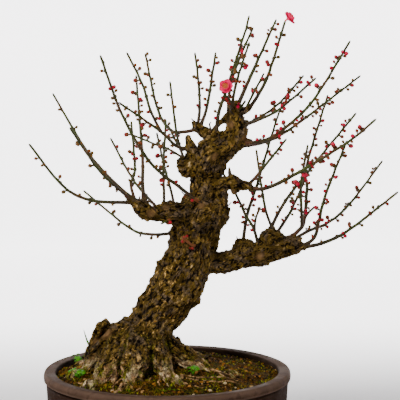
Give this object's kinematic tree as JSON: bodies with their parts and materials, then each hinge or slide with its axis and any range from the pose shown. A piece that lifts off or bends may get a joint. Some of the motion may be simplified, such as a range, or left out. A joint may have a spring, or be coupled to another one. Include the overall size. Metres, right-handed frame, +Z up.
{
  "type": "japanese apricot bonsai",
  "caption": "Leaning bonsai of red-flowering Japanese apricot in a round unglazed clay pot: gnarled old trunk, leafless upright shoots with red buds.",
  "frame": {"origin": "middle of the base of the whole object's box, on the surface that the pot stands on", "axes": "+Z up, -Y to the front, +X to the right as seen from the front; the pot's own axis is 71.6 mm left of the origin"},
  "size_m": [0.5006, 0.344, 0.6042],
  "materials": {
    "pot_clay": "unglazed dark brown stoneware, satin, a little worn on the lip",
    "drain_net": "black woven plastic net",
    "soil": "damp gritty soil with moss",
    "old_bark": "rough cracked old bark, dark brown with ochre ridges",
    "young_bark": "smooth young bark, olive to brown, with red and brown buds",
    "petals": "soft matt crimson petals",
    "weed_leaf": "soft bright green leaf"
  },
  "bodies": {
    "root": {"pot": "pot_clay", "drain_screen_1": "drain_net", "drain_screen_2": "drain_net", "drain_screen_3": "drain_net", "soil": "soil", "trunk": "old_bark", "shoot_left_01": "young_bark", "shoot_left_02": "young_bark", "shoot_left_03": "young_bark", "shoot_left_04": "young_bark", "shoot_left_05": "young_bark", "shoot_left_06": "young_bark", "shoot_left_07": "young_bark", "shoot_left_08": "young_bark", "shoot_left_09": "young_bark", "shoot_left_10": "young_bark", "shoot_left_11": "young_bark", "shoot_left_12": "young_bark", "shoot_left_13": "young_bark", "shoot_top_01": "young_bark", "shoot_top_02": "young_bark", "shoot_top_03": "young_bark", "shoot_top_04": "young_bark", "shoot_top_05": "young_bark", "shoot_top_06": "young_bark", "shoot_top_07": "young_bark", "shoot_right_01": "young_bark", "shoot_right_02": "young_bark", "shoot_right_03": "young_bark", "shoot_right_04": "young_bark", "shoot_right_05": "young_bark", "shoot_right_06": "young_bark", "shoot_right_08": "young_bark", "shoot_right_09": "young_bark", "shoot_right_10": "young_bark", "shoot_right_11": "young_bark", "shoot_right_12": "young_bark", "shoot_right_13": "young_bark", "shoot_right_14": "young_bark", "shoot_right_15": "young_bark", "shoot_back_01": "young_bark", "shoot_back_02": "young_bark", "shoot_back_03": "young_bark", "shoot_back_04": "young_bark", "shoot_spur_01": "young_bark", "shoot_spur_02": "young_bark", "shoot_spur_03": "young_bark", "shoot_spur_04": "young_bark", "bloom_top": "petals", "bloom_tip": "petals", "sorrel_back": "weed_leaf", "sorrel_front": "weed_leaf", "sorrel_right": "weed_leaf", "grass_blade": "weed_leaf"}
  },
  "joints": []
}
